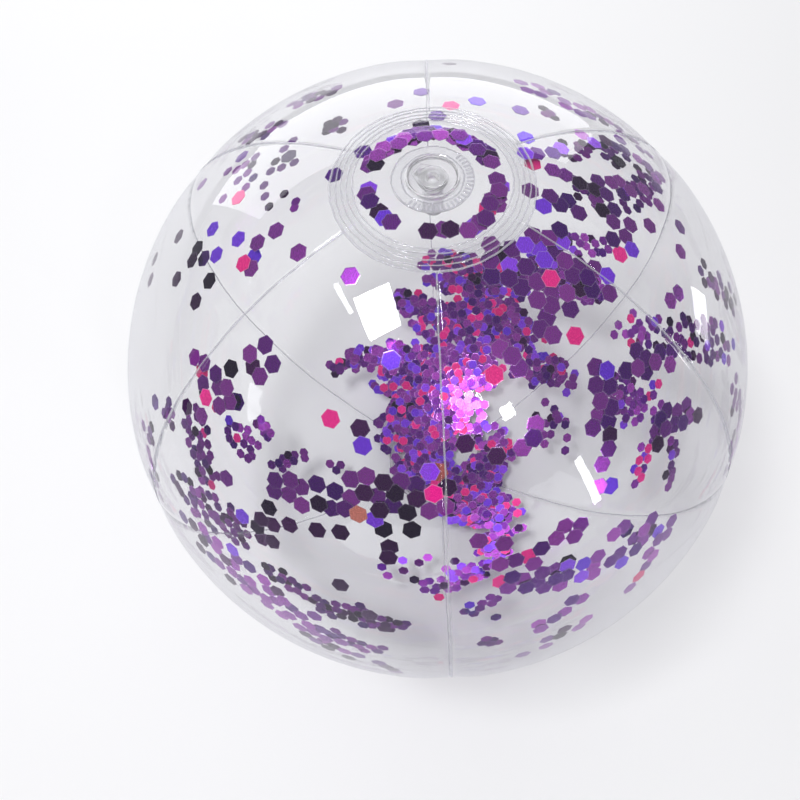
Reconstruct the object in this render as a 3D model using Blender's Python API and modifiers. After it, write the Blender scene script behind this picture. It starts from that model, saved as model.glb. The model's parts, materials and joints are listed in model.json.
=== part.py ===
"""Inflatable beach ball of clear film with loose hexagonal sequins inside.

Metres, +Z up. The origin is the middle of the small flat where the ball rests, and +Z is its
polar axis, with the valve on top.
"""

import math
import random

import bmesh
import bpy
from mathutils import Matrix, Vector

# ---- Driving dimensions of the envelope ----
BALL_DIAMETER = 0.400
GORES = 6
FILM = 0.0005  # film thickness
GAP = 0.0003  # space kept between pieces that touch
LAP_WIDTH = 0.004  # how far a gore's welded margin reaches over the next gore
JOGGLE = 0.0016  # length of the step that lifts the margin
DISC_RADIUS = 0.047  # edge of an end disc
TIP_RADIUS = 0.0365  # circle where the gores' tips end, under the discs
CONTACT_RADIUS = 0.018  # the flat that the ball's weight presses into it
WELD_RINGS = 3
WELD_RING_HEIGHT = 0.0003
WELD_RING_WIDTH = 0.0012

# ---- Driving dimensions of the valve ----
FLANGE_RADIUS = 0.019
FLANGE_THICKNESS = 0.0008
COLLAR_RADIUS = 0.0124
COLLAR_WALL = 0.0008
COLLAR_RISE = 0.0020  # collar top above the flange
COLLAR_FIT = 0.0004  # film hole to collar, and film to flange
WEB_THICKNESS = 0.0006
WEB_DEPTH = 0.0060
STEM_RADIUS = 0.0050
BORE_RADIUS = 0.0035
STEM_BELOW_FLANGE = 0.0200
RIM_RADIUS = 0.0063
RIM_THICKNESS = 0.0010
RIM_BELOW_FLANGE = 0.0010
LUG_REACH = 0.0088
LUG_WIDTH = 0.0044
VALVE_TURN = math.radians(140.0)  # azimuth of the strap's root
STRAP_THICKNESS = 0.0006
STRAP_REACH = 0.0096
STRAP_HALF_WIDTH = 0.0036
PLUG_HINGE_REACH = 0.0093
PLUG_FIT = 0.0004  # rim to strap, which the strap's end needs to turn
CAP_RADIUS = 0.0064
CAP_THICKNESS = 0.0012
CAP_RING_HEIGHT = 0.0005
SPIGOT_DEPTH = 0.0052
SPIGOT_CLEARANCE = 0.0002
FLAP_RADIUS = 0.0048
FLAP_THICKNESS = 0.0005
FLAP_REACH = 0.0059
FLAP_HALF_WIDTH = 0.0018

# ---- Driving dimensions of the sequins ----
SEQUIN_ACROSS_FLATS = 0.008
SEQUIN_THICKNESS = 0.0004
SEQUIN_SPACING = math.radians(3.0)
CLING_DEPTH = 0.0021  # middle of a clinging sequin below the film's outer face
LOOSE_DEPTH = 0.0032  # the loose ones slide over the clinging ones

# ---- Mesh fineness ----
GORE_ROWS = 20
GORE_COLUMNS = 7
DISC_STEPS = 36
VALVE_STEPS = 30
ARC_POINTS = 5

# ---- Worked out from the above ----
LAP_STEP = FILM + GAP
FILM_RADIUS = BALL_DIAMETER / 2 - LAP_STEP
DISC_SPHERE = FILM_RADIUS + 2 * LAP_STEP
CENTRE_Z = math.sqrt(DISC_SPHERE**2 - CONTACT_RADIUS**2)
CENTRE = Vector((0.0, 0.0, CENTRE_Z))
GORE_ANGLE = 2 * math.pi / GORES
FIRST_SEAM = math.radians(-90.0)


def cap_height(sphere_radius, radius):
    """Height above the ball's centre of a sphere at a distance from the axis."""
    return math.sqrt(sphere_radius**2 - radius**2)


DISC_HOLE = COLLAR_RADIUS + COLLAR_FIT
FLANGE_TOP = CENTRE_Z + cap_height(DISC_SPHERE - FILM, FLANGE_RADIUS) - COLLAR_FIT
COLLAR_TOP = FLANGE_TOP + COLLAR_RISE
WEB_TOP = FLANGE_TOP + 0.5 * COLLAR_RISE
RIM_TOP = FLANGE_TOP - RIM_BELOW_FLANGE
STEM_BOTTOM = FLANGE_TOP - STEM_BELOW_FLANGE
STRAP_BOTTOM = RIM_TOP + PLUG_FIT
CAP_BOTTOM = STRAP_BOTTOM + STRAP_THICKNESS + GAP
PLUG_HINGE_Z = STRAP_BOTTOM + STRAP_THICKNESS / 2
FLAP_TOP = STEM_BOTTOM - GAP

# ---- Sequins that are modelled one by one ----
# Name, azimuth, polar angle, half spread (all in degrees), and the finish of each sequin in it.
CLINGING_PATCHES = (
    ("round_valve_back", 95, 17, 9, ("dark", "purple", "purple", "violet")),
    ("round_valve_right", 25, 20, 11, ("purple", "violet", "dark", "purple", "pink")),
    ("round_valve_left", 172, 17, 9, ("purple", "dark", "purple")),
    ("left_shoulder", -172, 33, 10, ("purple", "violet", "dark", "pink", "dark")),
    ("left_side", -146, 43, 7, ("purple", "pink", "dark")),
    ("front", -100, 42, 8, ("dark", "dark", "salmon", "purple")),
    ("front_right", -62, 52, 9, ("dark", "purple", "violet")),
)
LOOSE_PATCHES = (
    ("belly_front", -95, 128, 16, ("purple", "dark", "pink", "violet", "purple")),
    ("belly_left", 175, 118, 14, ("dark", "purple", "violet", "pink")),
    ("belly_right", 5, 122, 14, ("purple", "pink", "dark", "purple")),
)
SCATTER_SEED = 40

FINISHES = {
    "clear_film": ((0.93, 0.93, 0.97, 0.18), 0.08, 0.0),
    "clear_vinyl": ((0.92, 0.92, 0.96, 0.35), 0.15, 0.0),
    "purple": ((0.22, 0.04, 0.36, 1.0), 0.22, 0.9),
    "dark": ((0.06, 0.02, 0.09, 1.0), 0.25, 0.9),
    "violet": ((0.22, 0.08, 0.85, 1.0), 0.20, 0.9),
    "pink": ((0.90, 0.03, 0.42, 1.0), 0.22, 0.8),
    "salmon": ((0.85, 0.28, 0.22, 1.0), 0.25, 0.8),
}


def clear_scene():
    for scene_object in list(bpy.data.objects):
        bpy.data.objects.remove(scene_object, do_unlink=True)


def new_collection(name):
    collection = bpy.data.collections.new(name)
    bpy.context.scene.collection.children.link(collection)
    return collection


def make_material(node_name, finish):
    colour, roughness, metallic = FINISHES[finish]
    material = bpy.data.materials.new(node_name + "_material")
    material.use_nodes = True
    shader = material.node_tree.nodes["Principled BSDF"]
    shader.inputs["Base Color"].default_value = colour
    shader.inputs["Alpha"].default_value = colour[3]
    shader.inputs["Roughness"].default_value = roughness
    shader.inputs["Metallic"].default_value = metallic
    material.diffuse_color = colour
    return material


def add_object(name, data, collection, finish):
    node = bpy.data.objects.new(name, data)
    collection.objects.link(node)
    if finish:
        data.materials.append(make_material(name, finish))
    return node


def finish_bmesh(shape, name):
    mesh = bpy.data.meshes.new(name)
    shape.to_mesh(mesh)
    shape.free()
    return mesh


def turned(name, profile, steps, collection, finish, closed):
    """A turned solid: the profile in (radius, height), from the top down its outer side."""
    shape = bmesh.new()
    points = [shape.verts.new((radius, 0.0, height)) for radius, height in profile]
    for start, end in zip(points, points[1:]):
        shape.edges.new((start, end))
    if closed:
        shape.edges.new((points[-1], points[0]))
    node = add_object(name, finish_bmesh(shape, name), collection, finish)
    screw = node.modifiers.new("Turn", "SCREW")
    screw.steps = steps
    screw.render_steps = steps
    screw.use_merge_vertices = True
    screw.merge_threshold = 0.00002
    screw.use_smooth_shade = True
    return node


def arc_on_sphere(sphere_radius, start_radius, end_radius, count, side):
    """Points from one distance to another along the ball's top (side 1) or bottom (side -1)."""
    points = []
    for step in range(count):
        radius = start_radius + (end_radius - start_radius) * step / (count - 1)
        points.append((radius, CENTRE_Z + side * cap_height(sphere_radius, radius)))
    return points


def ringed_arc(sphere_radius, start_radius, side):
    """The outer face of an end disc, with the embossed weld rings near its edge."""
    points = arc_on_sphere(sphere_radius, start_radius, TIP_RADIUS, ARC_POINTS, side)
    pitch = (DISC_RADIUS - TIP_RADIUS) / (WELD_RINGS + 1)
    for ring in range(1, WELD_RINGS + 1):
        middle = TIP_RADIUS + ring * pitch
        for offset, rise in ((-0.5, 0.0), (0.0, WELD_RING_HEIGHT), (0.5, 0.0)):
            radius = middle + offset * WELD_RING_WIDTH
            points.append((radius, CENTRE_Z + side * cap_height(sphere_radius + rise, radius)))
    points.append((DISC_RADIUS, CENTRE_Z + side * cap_height(sphere_radius, DISC_RADIUS)))
    return points


# ---- Envelope ----
def gore_point(column, row, seam):
    """Where a grid corner of a gore lies: columns run across it, rows from tip to tip."""
    tip_angle = math.asin(TIP_RADIUS / FILM_RADIUS)
    polar = tip_angle + (math.pi - 2 * tip_angle) * row / GORE_ROWS
    girth = FILM_RADIUS * math.sin(polar)
    radius = FILM_RADIUS
    if column == 0:
        azimuth = GAP / girth
    elif column == 1:
        azimuth = LAP_WIDTH / girth
    elif column < GORE_COLUMNS:
        inner = LAP_WIDTH / girth
        outer = GORE_ANGLE - (JOGGLE + GAP) / girth
        azimuth = inner + (outer - inner) * (column - 1) / (GORE_COLUMNS - 2)
    elif column == GORE_COLUMNS:
        azimuth = GORE_ANGLE - GAP / girth
        radius += LAP_STEP
    else:
        azimuth = GORE_ANGLE + LAP_WIDTH / girth
        radius += LAP_STEP
    azimuth += seam
    level = radius * math.sin(polar)
    return Vector((level * math.cos(azimuth), level * math.sin(azimuth), radius * math.cos(polar)))


def make_gore(number, collection):
    """One sixth of the film, with a lifted margin that laps the next gore."""
    columns = GORE_COLUMNS + 1
    shape = bmesh.new()
    bmesh.ops.create_grid(shape, x_segments=columns, y_segments=GORE_ROWS, size=0.5)
    seam = FIRST_SEAM + number * GORE_ANGLE
    for corner in shape.verts:
        column = round((corner.co.x + 0.5) * columns)
        row = round((0.5 - corner.co.y) * GORE_ROWS)
        corner.co = CENTRE + gore_point(column, row, seam)
    name = f"gore_{number + 1}"
    node = add_object(name, finish_bmesh(shape, name), collection, "clear_film")
    wall = node.modifiers.new("Film", "SOLIDIFY")
    wall.thickness = FILM
    wall.offset = -1.0
    wall.use_even_offset = True
    node.data.shade_smooth()
    return node


def make_top_disc(collection):
    """End disc over the upper tips, with the valve's hole in its middle."""
    outer = ringed_arc(DISC_SPHERE, DISC_HOLE, 1)
    inner = arc_on_sphere(DISC_SPHERE - FILM, DISC_RADIUS, DISC_HOLE, ARC_POINTS + 2, 1)
    return turned("top_disc", outer + inner, DISC_STEPS, collection, "clear_film", True)


def make_bottom_disc(collection):
    """End disc over the lower tips, pressed flat where the ball rests."""
    inner = arc_on_sphere(DISC_SPHERE - FILM, CONTACT_RADIUS, DISC_RADIUS, ARC_POINTS + 2, -1)
    outer = ringed_arc(DISC_SPHERE, CONTACT_RADIUS, -1)
    outer.reverse()
    profile = [(0.0, FILM), (CONTACT_RADIUS, FILM)] + inner[1:] + outer[:-1]
    profile += [(CONTACT_RADIUS, 0.0), (0.0, 0.0)]
    return turned("bottom_disc", profile, DISC_STEPS, collection, "clear_film", False)


# ---- Valve ----
def make_flange(collection):
    """Ring welded under the film, with a collar that stands up through the disc's hole."""
    bottom = FLANGE_TOP - FLANGE_THICKNESS
    inner = COLLAR_RADIUS - COLLAR_WALL
    profile = [
        (inner, COLLAR_TOP),
        (COLLAR_RADIUS, COLLAR_TOP),
        (COLLAR_RADIUS, FLANGE_TOP),
        (FLANGE_RADIUS, FLANGE_TOP),
        (FLANGE_RADIUS, bottom),
        (inner, bottom),
    ]
    return turned("valve_flange", profile, VALVE_STEPS, collection, "clear_vinyl", True)


def make_web(collection):
    """Soft cup wall between collar and stem, which rolls inside out as the stem is pulled."""
    outer_reach = COLLAR_RADIUS - COLLAR_WALL - GAP
    inner_reach = STEM_RADIUS + GAP
    span = outer_reach - inner_reach
    upper = []
    lower = []
    for step in range(ARC_POINTS + 1):
        turn = 0.5 * math.pi * step / ARC_POINTS
        swing, drop = math.cos(turn), math.sin(turn)
        upper_span = span - WEB_THICKNESS
        upper.append((inner_reach + upper_span * swing, WEB_TOP - (WEB_DEPTH - WEB_THICKNESS) * drop))
        lower.append((inner_reach + span * swing, WEB_TOP - WEB_DEPTH * drop))
    upper.reverse()
    return turned("valve_web", upper + lower, VALVE_STEPS, collection, "clear_vinyl", True)


def place_in_valve(node):
    """Turns a piece drawn with its root towards +X to the strap's azimuth."""
    node.data.transform(Matrix.Rotation(VALVE_TURN, 4, "Z"))
    return node


def make_stem(collection, cutters):
    """Stem tube with a rim, and a lug under the strap's root."""
    chamfer = 0.0008
    profile = [
        (BORE_RADIUS, RIM_TOP),
        (RIM_RADIUS, RIM_TOP),
        (RIM_RADIUS, RIM_TOP - RIM_THICKNESS),
        (STEM_RADIUS, RIM_TOP - RIM_THICKNESS),
        (STEM_RADIUS, STEM_BOTTOM + chamfer),
        (STEM_RADIUS - chamfer, STEM_BOTTOM),
        (BORE_RADIUS, STEM_BOTTOM),
    ]
    node = turned("valve_stem", profile, VALVE_STEPS, collection, "clear_vinyl", True)
    lug = bmesh.new()
    bmesh.ops.create_cube(lug, size=1.0)
    start = 0.5 * (STEM_RADIUS + RIM_RADIUS)
    length = LUG_REACH - start
    lug.transform(Matrix.Diagonal((length, LUG_WIDTH, RIM_THICKNESS * 0.9, 1.0)))
    lug.transform(Matrix.Translation((start + length / 2, 0.0, RIM_TOP - RIM_THICKNESS / 2)))
    lug_node = place_in_valve(add_object("stem_lug", finish_bmesh(lug, "stem_lug"), cutters, None))
    lug_node.hide_render = True
    lug_node.display_type = "WIRE"
    join = node.modifiers.new("Lug", "BOOLEAN")
    join.operation = "UNION"
    join.object = lug_node
    return node


def tapered_outline(round_radius, reach, half_width):
    """Corner points of a plate: round about the axis, narrowing to a straight root at +X."""
    distance = math.hypot(reach, half_width)
    tangent = math.atan2(half_width, reach) + math.acos(round_radius / distance)
    points = [(reach, -half_width), (reach, half_width)]
    steps = 4 * ARC_POINTS
    for step in range(steps + 1):
        turn = tangent + (2 * math.pi - 2 * tangent) * step / steps
        points.append((round_radius * math.cos(turn), round_radius * math.sin(turn)))
    return points


def add_spline(curve, points):
    spline = curve.splines.new("POLY")
    spline.points.add(len(points) - 1)
    for knot, (x, y) in zip(spline.points, points):
        knot.co = (x, y, 0.0, 1.0)
    spline.use_cyclic_u = True


def make_plate(name, outlines, bottom, thickness, collection):
    """A flat outline with thickness, made a mesh and turned to the strap's azimuth."""
    curve = bpy.data.curves.new(name, "CURVE")
    curve.dimensions = "2D"
    curve.fill_mode = "BOTH"
    curve.extrude = thickness / 2
    for points in outlines:
        add_spline(curve, points)
    guide = bpy.data.objects.new(name + "_outline", curve)
    collection.objects.link(guide)
    solid = bpy.data.meshes.new_from_object(guide.evaluated_get(bpy.context.evaluated_depsgraph_get()))
    bpy.data.objects.remove(guide)
    shape = bmesh.new()
    shape.from_mesh(solid)
    bmesh.ops.remove_doubles(shape, verts=shape.verts, dist=0.00001)
    shape.transform(Matrix.Translation((0.0, 0.0, bottom + thickness / 2)))
    node = add_object(name, finish_bmesh(shape, name), collection, "clear_vinyl")
    return place_in_valve(node)


def make_strap(collection):
    """Teardrop plate under the plug's cap, hinged at its straight end."""
    hole_radius = BORE_RADIUS
    steps = 4 * ARC_POINTS
    hole = []
    for step in range(steps):
        turn = 2 * math.pi * step / steps
        hole.append((hole_radius * math.cos(turn), hole_radius * math.sin(turn)))
    outline = tapered_outline(CAP_RADIUS + 0.0008, STRAP_REACH, STRAP_HALF_WIDTH)
    return make_plate("plug_strap", (outline, hole), STRAP_BOTTOM, STRAP_THICKNESS, collection)


def spigot_radius(depth):
    """Largest spigot that still swings clear of the bore about the strap's hinge."""
    reach = PLUG_HINGE_REACH + BORE_RADIUS - SPIGOT_CLEARANCE
    return math.sqrt(reach**2 - depth**2) - PLUG_HINGE_REACH


def make_plug(collection):
    """Cap with a raised ring, and a rounded spigot that fills the bore."""
    top = CAP_BOTTOM + CAP_THICKNESS
    ring = top + CAP_RING_HEIGHT
    profile = [
        (0.0, top),
        (CAP_RADIUS * 0.50, top),
        (CAP_RADIUS * 0.56, ring),
        (CAP_RADIUS * 0.68, ring),
        (CAP_RADIUS * 0.74, top),
        (CAP_RADIUS, top),
        (CAP_RADIUS, CAP_BOTTOM),
    ]
    for step in range(ARC_POINTS + 1):
        depth = SPIGOT_DEPTH * step / ARC_POINTS
        height = PLUG_HINGE_Z - depth
        if step == 0:
            profile.append((spigot_radius(depth), CAP_BOTTOM))
        else:
            profile.append((spigot_radius(depth), height))
    profile.append((0.0, PLUG_HINGE_Z - SPIGOT_DEPTH))
    return turned("plug", profile, VALVE_STEPS, collection, "clear_vinyl", False)


def make_flap(collection):
    """Thin disc that the ball's pressure holds against the stem's lower end."""
    outline = tapered_outline(FLAP_RADIUS, FLAP_REACH, FLAP_HALF_WIDTH)
    return make_plate("check_flap", (outline,), FLAP_TOP - FLAP_THICKNESS, FLAP_THICKNESS, collection)


# ---- Sequins ----
def direction(azimuth, polar):
    flat = math.sin(polar)
    return Vector((flat * math.cos(azimuth), flat * math.sin(azimuth), math.cos(polar)))


def scattered_direction(middle, half_spread, generator, taken):
    """A direction near the middle of a patch that keeps clear of the ones already taken."""
    for _ in range(2000):
        tilt = half_spread * math.sqrt(generator.random())
        spin = generator.uniform(0.0, 2 * math.pi)
        side = middle.orthogonal().normalized()
        axis = Matrix.Rotation(spin, 3, middle) @ side
        candidate = Matrix.Rotation(tilt, 3, axis) @ middle
        if all(candidate.angle(other) > SEQUIN_SPACING for other in taken):
            taken.append(candidate)
            return candidate
    raise RuntimeError("a patch has no room left")


def make_sequin(name, facing, spin, depth, finish, collection):
    """A flat hexagon lying against the inside of the film."""
    corner_radius = SEQUIN_ACROSS_FLATS / math.sqrt(3.0)
    shape = bmesh.new()
    bmesh.ops.create_cone(
        shape,
        cap_ends=True,
        segments=6,
        radius1=corner_radius,
        radius2=corner_radius,
        depth=SEQUIN_THICKNESS,
    )
    node = add_object(name, finish_bmesh(shape, name), collection, finish)
    turn = facing.to_track_quat("Z", "Y").to_matrix().to_4x4() @ Matrix.Rotation(spin, 4, "Z")
    node.matrix_world = Matrix.Translation(CENTRE + facing * (FILM_RADIUS - depth)) @ turn
    return node


def make_sequins(prefix, patches, depth, generator, collection):
    """Every sequin of a set of patches, each its own node."""
    taken = []
    number = 0
    for _, azimuth, polar, spread, finishes in patches:
        middle = direction(math.radians(azimuth), math.radians(polar))
        for finish in finishes:
            number += 1
            facing = scattered_direction(middle, math.radians(spread), generator, taken)
            spin = generator.uniform(0.0, math.pi / 3)
            make_sequin(f"{prefix}_{number:02d}", facing, spin, depth, finish, collection)


def main():
    clear_scene()
    parts = new_collection("beach_ball")
    cutters = new_collection("beach_ball_cutters")
    for number in range(GORES):
        make_gore(number, parts)
    make_top_disc(parts)
    make_bottom_disc(parts)
    make_flange(parts)
    make_web(parts)
    make_stem(parts, cutters)
    make_plug(parts)
    make_strap(parts)
    make_flap(parts)
    generator = random.Random(SCATTER_SEED)
    make_sequins("cling_sequin", CLINGING_PATCHES, CLING_DEPTH, generator, parts)
    make_sequins("loose_sequin", LOOSE_PATCHES, LOOSE_DEPTH, generator, parts)


main()
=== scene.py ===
# %% [markdown]
# # A clear beach ball with loose sequins inside
#
# The ball is an envelope of thin clear film: six gores and two end discs, welded along their edges.
# A soft moulded valve sits in the top disc. Inside, several hundred hexagonal sequins cling to the
# film or lie in a drift at the bottom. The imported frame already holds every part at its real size,
# so this script only makes what is seen: smooth film, weld lines, the moulded valve, the sequins,
# their finishes, and a plain pale studio.

import json
import math
import random

import bmesh
import bpy
from mathutils import Matrix, Quaternion, Vector


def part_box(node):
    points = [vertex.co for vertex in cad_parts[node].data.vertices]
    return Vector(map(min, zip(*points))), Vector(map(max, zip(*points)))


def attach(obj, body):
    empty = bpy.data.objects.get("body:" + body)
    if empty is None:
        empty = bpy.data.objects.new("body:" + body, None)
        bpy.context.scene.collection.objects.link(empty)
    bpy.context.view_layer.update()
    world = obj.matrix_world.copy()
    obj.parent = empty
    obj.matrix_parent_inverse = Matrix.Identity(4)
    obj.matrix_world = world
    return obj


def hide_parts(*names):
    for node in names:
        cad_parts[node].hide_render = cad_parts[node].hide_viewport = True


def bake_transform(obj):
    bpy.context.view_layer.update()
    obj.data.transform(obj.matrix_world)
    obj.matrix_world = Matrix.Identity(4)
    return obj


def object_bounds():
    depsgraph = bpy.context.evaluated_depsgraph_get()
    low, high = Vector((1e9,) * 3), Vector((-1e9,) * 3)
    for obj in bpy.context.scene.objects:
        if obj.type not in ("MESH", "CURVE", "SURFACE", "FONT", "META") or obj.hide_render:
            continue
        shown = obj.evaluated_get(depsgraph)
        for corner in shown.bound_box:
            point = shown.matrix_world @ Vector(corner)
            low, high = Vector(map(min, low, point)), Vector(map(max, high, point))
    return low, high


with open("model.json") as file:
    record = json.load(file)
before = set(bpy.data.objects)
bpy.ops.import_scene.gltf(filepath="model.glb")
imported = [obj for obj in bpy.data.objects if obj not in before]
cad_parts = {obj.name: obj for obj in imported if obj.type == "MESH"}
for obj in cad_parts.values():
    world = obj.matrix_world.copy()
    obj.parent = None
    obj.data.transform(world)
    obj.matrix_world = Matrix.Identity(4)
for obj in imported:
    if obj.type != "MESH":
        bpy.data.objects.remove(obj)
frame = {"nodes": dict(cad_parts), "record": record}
cad_low, cad_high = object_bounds()
print("box of the frame:", tuple(cad_low), tuple(cad_high))

# %% [markdown]
# ## Sizes, read from the frame
#
# Nothing here is a new measurement. The film's sphere comes from the box of a gore, and the valve's
# steps come from the boxes of its parts, so a piece made from these values lands where the frame
# says it is.

# %% Sizes of the envelope and the valve
gore_low, gore_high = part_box("gore_1")
disc_low, disc_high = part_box("top_disc")
flange_low, flange_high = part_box("valve_flange")
web_low, web_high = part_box("valve_web")
stem_low, stem_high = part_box("valve_stem")
plug_low, plug_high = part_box("plug")
strap_low, strap_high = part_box("plug_strap")
flap_low, flap_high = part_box("check_flap")

GORES = 6
SEAM_AZIMUTH = math.radians(-90.0)
GORE_ANGLE = 2 * math.pi / GORES
CENTRE = Vector((0.0, 0.0, (gore_low.z + gore_high.z) / 2))
BALL_RADIUS = cad_high.y
FILM = 0.00025
DISC_EDGE = (disc_high.x - disc_low.x) / 2
TIP_EDGE = DISC_EDGE * 0.777
FLANGE_EDGE = (flange_high.x - flange_low.x) / 2
COLLAR_EDGE = 0.0124
REST_FLAT = 0.018
POLE_TILT_TIP = math.asin(TIP_EDGE / BALL_RADIUS)
print("centre height", round(CENTRE.z, 4), "ball radius", round(BALL_RADIUS, 4))
print("disc edge", round(DISC_EDGE, 4), "tip edge", round(TIP_EDGE, 4))

# %% [markdown]
# ## Camera, floor and light
#
# The ball is looked at steeply from above, close by, with one seam running towards the camera. A
# short lens at half a metre from the centre gives the strong perspective: the near sequins are
# about twice as big as those on the far wall. The floor and the world are pale, because clear film
# shows mostly what is behind it. A wide softbox behind the ball lights it. Four smaller ones stand
# where their reflections fall on chosen places of the near film, as windows would.

# %% Camera
CAMERA_ELEVATION = math.radians(64.5)
CAMERA_AZIMUTH = math.radians(-90.9)
CAMERA_ROLL = math.radians(-1.5)
CAMERA_DISTANCE = 2.5 * BALL_RADIUS
LENS = 32.07
scene = bpy.context.scene
camera_data = bpy.data.cameras.new("camera")
camera = bpy.data.objects.new("camera", camera_data)
scene.collection.objects.link(camera)
flat_reach = math.cos(CAMERA_ELEVATION)
camera_side = Vector((
    flat_reach * math.cos(CAMERA_AZIMUTH),
    flat_reach * math.sin(CAMERA_AZIMUTH),
    math.sin(CAMERA_ELEVATION),
))
camera.location = CENTRE + camera_side * CAMERA_DISTANCE
camera.rotation_mode = "QUATERNION"
level_view = (-camera_side).to_track_quat("-Z", "Y")
camera.rotation_quaternion = level_view @ Quaternion((0.0, 0.0, 1.0), CAMERA_ROLL)
camera_data.lens = LENS
camera_data.shift_x = -0.047
camera_data.shift_y = -0.039
camera_data.clip_start = 0.01
scene.camera = camera
print("camera at", tuple(round(c, 3) for c in camera.location))

# %% Floor and world
FLOOR_RADIUS = 6.0
FLOOR_TONE = (0.90, 0.90, 0.91, 1.0)
FLOOR_DROP = 0.0005
HORIZON_TONE = (0.80, 0.81, 0.84, 1.0)
ZENITH_TONE = (0.98, 0.98, 1.0, 1.0)
WORLD_STRENGTH = 0.42


def plain_material(name, colour, roughness):
    material = bpy.data.materials.new(name)
    material.use_nodes = True
    shader = material.node_tree.nodes["Principled BSDF"]
    shader.inputs["Base Color"].default_value = colour
    shader.inputs["Roughness"].default_value = roughness
    return material


floor_shape = bmesh.new()
bmesh.ops.create_circle(floor_shape, cap_ends=True, segments=96, radius=FLOOR_RADIUS)
floor_mesh = bpy.data.meshes.new("studio_floor")
floor_shape.to_mesh(floor_mesh)
floor_shape.free()
floor = bpy.data.objects.new("studio_floor", floor_mesh)
scene.collection.objects.link(floor)
floor_mesh.materials.append(plain_material("studio_floor", FLOOR_TONE, 0.8))
floor.location.z = -FLOOR_DROP

world = bpy.data.worlds.new("studio_world")
scene.world = world
world.use_nodes = True
world_nodes = world.node_tree.nodes
world_links = world.node_tree.links
world_back = world_nodes["Background"]
world_place = world_nodes.new("ShaderNodeTexCoord")
world_split = world_nodes.new("ShaderNodeSeparateXYZ")
world_ramp = world_nodes.new("ShaderNodeValToRGB")
world_ramp.color_ramp.elements[0].position = 0.0
world_ramp.color_ramp.elements[0].color = HORIZON_TONE
world_ramp.color_ramp.elements[1].position = 0.75
world_ramp.color_ramp.elements[1].color = ZENITH_TONE
world_links.new(world_place.outputs["Generated"], world_split.inputs[0])
world_links.new(world_split.outputs["Z"], world_ramp.inputs[0])
world_links.new(world_ramp.outputs[0], world_back.inputs[0])
world_back.inputs[1].default_value = WORLD_STRENGTH
scene.view_settings.view_transform = "Standard"
print("floor radius", FLOOR_RADIUS, "world strength", WORLD_STRENGTH)

# %% Softboxes
def ray_at(azimuth, polar):
    """The direction from the ball's centre at an azimuth and a polar angle, in degrees."""
    a = math.radians(azimuth)
    p = math.radians(polar)
    return Vector((math.sin(p) * math.cos(a), math.sin(p) * math.sin(a), math.cos(p)))


def softbox(name, place, away, width, height, watts):
    """A rectangular lamp at a place, facing back along the direction it lies in."""
    data = bpy.data.lights.new(name, "AREA")
    data.shape = "RECTANGLE"
    data.size = width
    data.size_y = height
    data.energy = watts
    lamp = bpy.data.objects.new(name, data)
    scene.collection.objects.link(lamp)
    lamp.location = place
    lamp.rotation_mode = "QUATERNION"
    lamp.rotation_quaternion = away.to_track_quat("Z", "Y")
    return lamp


def mirrored_softbox(name, azimuth, polar, distance, width, height, watts):
    """A softbox placed so that its reflection shows at one place on the near film."""
    normal = ray_at(azimuth, polar)
    mirror = CENTRE + normal * BALL_RADIUS
    sight = (mirror - camera.location).normalized()
    away = sight - 2 * sight.dot(normal) * normal
    return softbox(name, mirror + away * distance, away, width, height, watts)


back_ray = ray_at(98, 73)
softbox("key_softbox", CENTRE + back_ray * 1.9, back_ray, 3.4, 1.2, 26)
mirrored_softbox("window_softbox", -112, 19.5, 1.3, 0.36, 0.30, 13)
mirrored_softbox("side_softbox", -20, 48, 1.7, 0.4, 0.8, 5)
mirrored_softbox("strip_softbox", -63, 45, 1.5, 0.07, 0.5, 2)
mirrored_softbox("spot_softbox", -75, 32, 1.5, 0.12, 0.12, 2)

# %% [markdown]
# ## Shared shader groups
#
# Two effects are used by several finishes. "soft_ripple" gives film, welds and moulded vinyl an
# uneven surface. "flake_tone" varies a sequin's colour: each flake gets its own tone from an
# attribute, fine brushed streaks run across the metallised film, and a painted highlight lightens
# the outer band of each flake, marked by the "rim" attribute. Groups put out only colours, masks
# and normals, so the shaders themselves stay in each material.

# %% Helpers for node groups
def add_node(tree, kind, **values):
    node = tree.nodes.new(kind)
    for key, value in values.items():
        setattr(node, key, value)
    return node


def group_socket(tree, name, way, kind, value=None):
    socket = tree.interface.new_socket(name=name, in_out=way, socket_type=kind)
    if value is not None:
        socket.default_value = value
    return socket


def soft_ripple_group():
    tree = bpy.data.node_groups.new("soft_ripple", "ShaderNodeTree")
    group_socket(tree, "Scale", "INPUT", "NodeSocketFloat", 120.0)
    group_socket(tree, "Strength", "INPUT", "NodeSocketFloat", 0.2)
    group_socket(tree, "Depth", "INPUT", "NodeSocketFloat", 0.0003)
    group_socket(tree, "Normal", "OUTPUT", "NodeSocketVector")
    start = add_node(tree, "NodeGroupInput")
    end = add_node(tree, "NodeGroupOutput")
    place = add_node(tree, "ShaderNodeTexCoord")
    noise = add_node(tree, "ShaderNodeTexNoise")
    noise.inputs["Detail"].default_value = 2.0
    bump = add_node(tree, "ShaderNodeBump")
    link = tree.links.new
    link(place.outputs["Object"], noise.inputs["Vector"])
    link(start.outputs["Scale"], noise.inputs["Scale"])
    link(noise.outputs["Fac"], bump.inputs["Height"])
    link(start.outputs["Strength"], bump.inputs["Strength"])
    link(start.outputs["Depth"], bump.inputs["Distance"])
    link(bump.outputs["Normal"], end.inputs["Normal"])
    return tree


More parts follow.
